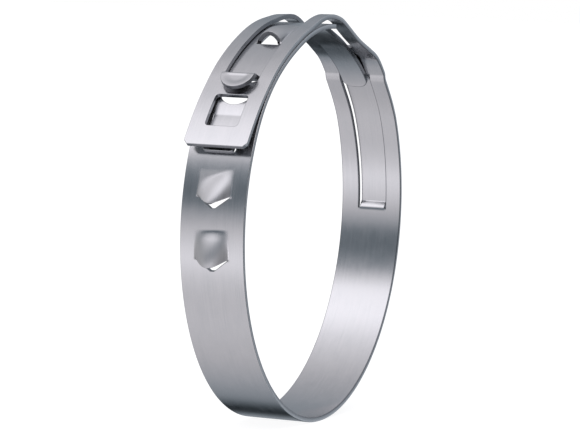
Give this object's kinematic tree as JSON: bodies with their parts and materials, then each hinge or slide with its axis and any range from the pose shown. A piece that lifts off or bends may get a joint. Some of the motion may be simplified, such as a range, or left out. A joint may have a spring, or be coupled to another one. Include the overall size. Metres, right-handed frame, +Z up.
{
  "type": "low-profile band clamp",
  "caption": "Open one-strip spring-steel leg band with lapped ends, two windows, pressed hooks, a retaining tab and a tongue sliding in a channel.",
  "frame": {"origin": "centre of the open ring, midway across the strip's width", "axes": "+Z up through the laps, Y along the ring's axis, -X towards the lapped side with the hooks"},
  "size_m": [0.0444, 0.007, 0.0433],
  "materials": {
    "steel": "rolled satin stainless strip with bright sheared edges"
  },
  "bodies": {
    "loop_base": {"loop_base": "steel"},
    "left_wall": {"left_wall": "steel"},
    "twin_hook_section": {"twin_hook_section": "steel"},
    "tab_section": {"tab_section": "steel"},
    "shoulder_section": {"shoulder_section": "steel"},
    "tongue": {"tongue": "steel"},
    "right_lower_wall": {"right_lower_wall": "steel"},
    "right_wall": {"right_wall": "steel"},
    "channel_section": {"channel_section": "steel"},
    "joggle_section": {"joggle_section": "steel"},
    "wave_section": {"wave_section": "steel"},
    "lap_front": {"lap_front": "steel"},
    "lap_bar": {"lap_bar": "steel"},
    "lap_tip": {"lap_tip": "steel"}
  },
  "joints": [
    {"name": "flex_left_wall", "type": "hinge", "parent": "loop_base", "child": "left_wall", "pos_m": [-0.00796, 0, -0.0197], "axis": [0, 1, 0], "range_deg": [0, 5.46], "stiffness_Nm_per_rad": 0.025},
    {"name": "flex_twin_hook_section", "type": "hinge", "parent": "left_wall", "child": "twin_hook_section", "pos_m": [-0.01956, 0, -0.0083], "axis": [0, 1, 0], "range_deg": [0, 5.31], "stiffness_Nm_per_rad": 0.025},
    {"name": "flex_tab_section", "type": "hinge", "parent": "twin_hook_section", "child": "tab_section", "pos_m": [-0.02015, 0, 0.00674], "axis": [0, 1, 0], "range_deg": [0, 6.61], "stiffness_Nm_per_rad": 0.025},
    {"name": "flex_shoulder_section", "type": "hinge", "parent": "tab_section", "child": "shoulder_section", "pos_m": [-0.01229, 0, 0.01692], "axis": [0, 1, 0], "range_deg": [0, 5.4], "stiffness_Nm_per_rad": 0.0095},
    {"name": "flex_tongue", "type": "hinge", "parent": "shoulder_section", "child": "tongue", "pos_m": [0.00072, 0, 0.02052], "axis": [0, 1, 0], "range_deg": [0, 5.15], "stiffness_Nm_per_rad": 0.0014},
    {"name": "draw_closed", "type": "hinge", "parent": "loop_base", "child": "right_lower_wall", "pos_m": [0.00796, 0, -0.0197], "axis": [0, -1, 0], "range_deg": [0, 4.9], "stiffness_Nm_per_rad": 0.025},
    {"name": "flex_right_wall", "type": "hinge", "parent": "right_lower_wall", "child": "right_wall", "pos_m": [0.01802, 0, -0.01126], "axis": [0, -1, 0], "range_deg": [0, 4.11], "stiffness_Nm_per_rad": 0.025},
    {"name": "flex_channel_section", "type": "hinge", "parent": "right_wall", "child": "channel_section", "pos_m": [0.02125, 0, -0.00037], "axis": [0, -1, 0], "range_deg": [0, 2.67], "stiffness_Nm_per_rad": 0.025},
    {"name": "flex_joggle_section", "type": "hinge", "parent": "channel_section", "child": "joggle_section", "pos_m": [0.01559, 0, 0.01404], "axis": [0, -1, 0], "range_deg": [0, 4.6], "stiffness_Nm_per_rad": 0.025},
    {"name": "flex_wave_section", "type": "hinge", "parent": "joggle_section", "child": "wave_section", "pos_m": [0.01063, 0, 0.01842], "axis": [0, -1, 0], "range_deg": [0, 3.68], "stiffness_Nm_per_rad": 0.022},
    {"name": "flex_lap_front", "type": "hinge", "parent": "wave_section", "child": "lap_front", "pos_m": [-0.00294, 0, 0.02091], "axis": [0, -1, 0], "range_deg": [-1.21, 0.01], "stiffness_Nm_per_rad": 0.0067},
    {"name": "flex_lap_bar", "type": "hinge", "parent": "lap_front", "child": "lap_bar", "pos_m": [-0.01673, 0, 0.01404], "axis": [0, -1, 0], "range_deg": [0, 15.98], "stiffness_Nm_per_rad": 0.00031},
    {"name": "lap_lift", "type": "hinge", "parent": "lap_bar", "child": "lap_tip", "pos_m": [-0.01835, 0, 0.01237], "axis": [0, 1, 0], "range_deg": [-3, 18], "stiffness_Nm_per_rad": 0.00012}
  ],
  "couplings": [
    {"joint": "flex_left_wall", "follows": "draw_closed", "ratio": 1.1122},
    {"joint": "flex_twin_hook_section", "follows": "draw_closed", "ratio": 1.0816},
    {"joint": "flex_tab_section", "follows": "draw_closed", "ratio": 1.3469},
    {"joint": "flex_shoulder_section", "follows": "draw_closed", "ratio": 1.1},
    {"joint": "flex_tongue", "follows": "draw_closed", "ratio": 1.049},
    {"joint": "flex_right_wall", "follows": "draw_closed", "ratio": 0.8367},
    {"joint": "flex_channel_section", "follows": "draw_closed", "ratio": 0.5429},
    {"joint": "flex_joggle_section", "follows": "draw_closed", "ratio": 0.9367},
    {"joint": "flex_wave_section", "follows": "draw_closed", "ratio": 0.749},
    {"joint": "flex_lap_front", "follows": "draw_closed", "ratio": -0.2449},
    {"joint": "flex_lap_bar", "follows": "draw_closed", "ratio": 3.2592}
  ]
}
